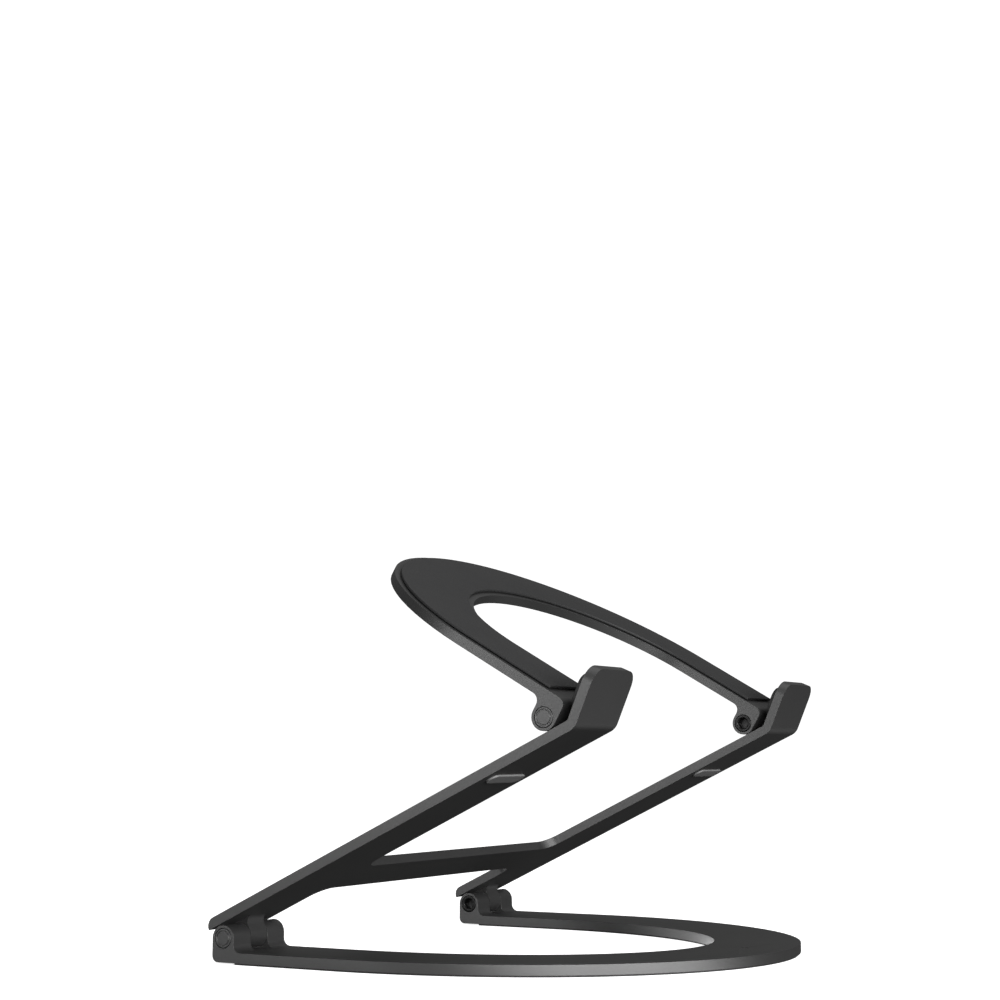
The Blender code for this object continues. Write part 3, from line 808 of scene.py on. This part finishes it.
    def dress(self, metals: dict[str, bpy.types.Material]) -> None:
        """Make and dress the hinge's pieces.

        Args:
            metals: The materials, under their short names.
        """
        steel = metals["spring_steel"]
        self.sleeve(metals["turned"])
        self.screw(metals["black_steel"])
        self.plain_ring("outer_washer", self.ear_body, "spring_steel", steel)
        self.plain_ring("inner_washer", self.ear_body, "spring_steel", steel)
        self.plain_ring("bush", "mid_frame", "bronze", metals["bronze"])
        self.disc_spring(steel)


# ---------------------------------------------------------------- studio


@dataclass(frozen=True)
class Softbox:
    """A rectangular soft light: its place, the point it faces, its width and height, and its watts."""

    name: str
    place: tuple[float, float, float]
    aim: tuple[float, float, float]
    size: tuple[float, float]
    power: float

    def hang(self) -> None:
        """Add the light to the scene."""
        light = bpy.data.lights.new(self.name, "AREA")
        light.shape = "RECTANGLE"
        light.size, light.size_y = self.size
        light.energy = self.power
        made = bpy.data.objects.new(self.name, light)
        made.location = self.place
        made.rotation_euler = (Vector(self.aim) - Vector(self.place)).to_track_quat("-Z", "Y").to_euler()
        bpy.context.scene.collection.objects.link(made)


# A wide one low in front lights the plates' front walls and edges. One under floor level on the right is the
# faint light that a pale table throws up, and one behind lights the walls that face back. The last two stand
# behind on the left and overhead.
SOFTBOXES = (
    Softbox("front_softbox", place=(-0.95, -1.62, 0.36), aim=(0.0, -0.02, 0.03), size=(3.2, 0.8),
            power=134.0),
    Softbox("bounce_softbox", place=(1.25, -0.5, -0.55), aim=(-0.05, -0.07, 0.13), size=(0.8, 0.6),
            power=0.5),
    Softbox("back_softbox", place=(0.45, 1.75, -0.25), aim=(0.0, -0.05, 0.0), size=(2.6, 0.4), power=12.0),
    Softbox("side_softbox", place=(-1.9, 0.95, 0.45), aim=(0.0, 0.0, 0.05), size=(0.9, 0.9), power=14.0),
    Softbox("top_softbox", place=(0.1, 0.1, 1.8), aim=(0.0, 0.0, 0.0), size=(1.6, 1.6), power=7.0),
)


@dataclass
class Studio:
    """Pale floor, backdrop, soft lights and the camera."""

    camera_place: tuple[float, float, float] = (-0.8651, -0.43634, 0.0970)
    camera_yaw: float = math.radians(-61.4)
    camera_pitch: float = math.radians(7.25)
    lens: float = 70.28
    sensor: float = 36.0
    sight: float = 50.0
    floor_size: float = 12.0
    floor_drop: float = 0.05 * MM
    floor_tone: str = "#fafafa"
    floor_roughness: float = 0.6
    floor_glow: float = 0.80
    room_low: float = 0.04
    room_high: float = 0.40
    room_rise: float = 0.08
    backdrop: float = 1.1

    def floor(self) -> None:
        """Lay a pale floor that is only seen: it doesn't light the stand, shade it or show in it."""
        mesh = bpy.data.meshes.new("floor")
        h = self.floor_size / 2
        z = -self.floor_drop
        mesh.from_pydata([(-h, -h, z), (h, -h, z), (h, h, z), (-h, h, z)], [], [(0, 1, 2, 3)])
        made = bpy.data.objects.new("floor", mesh)
        bpy.context.scene.collection.objects.link(made)
        paint = bpy.data.materials.new("pale_floor")
        paint.use_nodes = True
        shader = paint.node_tree.nodes["Principled BSDF"]
        shader.inputs["Base Color"].default_value = linear(self.floor_tone)
        shader.inputs["Roughness"].default_value = self.floor_roughness
        shader.inputs["Emission Color"].default_value = WHITE
        shader.inputs["Emission Strength"].default_value = self.floor_glow
        mesh.materials.append(paint)
        made.visible_diffuse = False
        made.visible_glossy = False
        made.visible_shadow = False

    def surround(self) -> None:
        """Make the white backdrop, and the dimmer room that lights the stand.

        The room's brightness follows the height of the direction: it is room_low up to room_rise, and grows
        from there to room_high overhead, so undersides stay dark. The backdrop is what is seen directly.
        """
        world = bpy.data.worlds.new("studio")
        bpy.context.scene.world = world
        world.use_nodes = True
        tree = world.node_tree
        tree.nodes.clear()
        way = add_node(tree, "ShaderNodeTexCoord")
        parts = add_node(tree, "ShaderNodeSeparateXYZ", links={0: way.outputs["Generated"]})
        height = add_node(tree, "ShaderNodeMapRange",
                          {"From Min": self.room_rise, "From Max": 1.0, "To Min": self.room_low,
                           "To Max": self.room_high}, {"Value": parts.outputs["Z"]})
        room = add_node(tree, "ShaderNodeBackground", {"Color": WHITE},
                        {"Strength": height.outputs["Result"]})
        seen = add_node(tree, "ShaderNodeBackground", {"Color": WHITE, "Strength": self.backdrop})
        path = add_node(tree, "ShaderNodeLightPath")
        both = add_node(tree, "ShaderNodeMixShader", links={0: path.outputs["Is Camera Ray"],
                        1: room.outputs[0], 2: seen.outputs[0]})
        add_node(tree, "ShaderNodeOutputWorld", links={"Surface": both.outputs[0]})

    def camera(self) -> None:
        """Place the camera level, turned by its yaw and tilted by its pitch."""
        lens = bpy.data.cameras.new("camera")
        lens.lens = self.lens
        lens.sensor_width = self.sensor
        lens.clip_end = self.sight
        made = bpy.data.objects.new("camera", lens)
        made.location = self.camera_place
        made.rotation_euler = (math.pi / 2 + self.camera_pitch, 0, self.camera_yaw)
        bpy.context.scene.collection.objects.link(made)
        bpy.context.scene.camera = made

    def build(self) -> None:
        """Build the whole set."""
        bpy.context.scene.view_settings.view_transform = "Standard"
        self.floor()
        self.surround()
        for softbox in SOFTBOXES:
            softbox.hang()
        self.camera()


def main() -> None:
    """Build the studio and every visible piece in order."""
    logging.basicConfig(level=logging.INFO, format="%(message)s")
    Studio().build()
    Plates().dress(ANODISED.make())
    Pads().dress(SILICONE.make(), GREY_RUBBER.make())
    metals = {"turned": TURNED.make(), "black_steel": BLACK_STEEL.make(),
              "spring_steel": SPRING_STEEL.make(), "bronze": BRONZE.make()}
    for side in Side:
        for joint, body in (("base_hinge", "base"), ("top_hinge", "top_frame_body")):
            HingeSet(side, joint, body).dress(metals)


if __name__ == "__main__":
    main()
